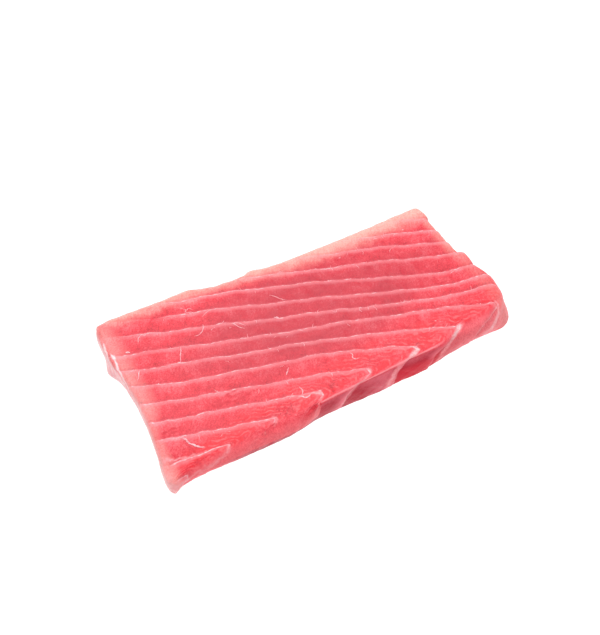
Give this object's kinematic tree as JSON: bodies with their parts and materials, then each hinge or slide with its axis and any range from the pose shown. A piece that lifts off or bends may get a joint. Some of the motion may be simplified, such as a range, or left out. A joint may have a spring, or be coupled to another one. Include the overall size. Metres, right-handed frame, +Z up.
{
  "type": "raw tuna block",
  "caption": "Flat rectangular block of raw red tuna, cut along the loin, with slanting pale bands across its top, rounded ends and a flat underside.",
  "frame": {"origin": "centre of the box around the block, on the plane of its flat underside", "axes": "+X along the block's length, towards the stepped right end; +Y across it, towards the rounded back edge; +Z up through its thickness"},
  "size_m": [0.2118, 0.108, 0.019],
  "materials": {
    "flesh": "moist, slightly glossy raw flesh"
  },
  "bodies": {
    "root": {"tuna_block": "flesh"}
  },
  "joints": []
}
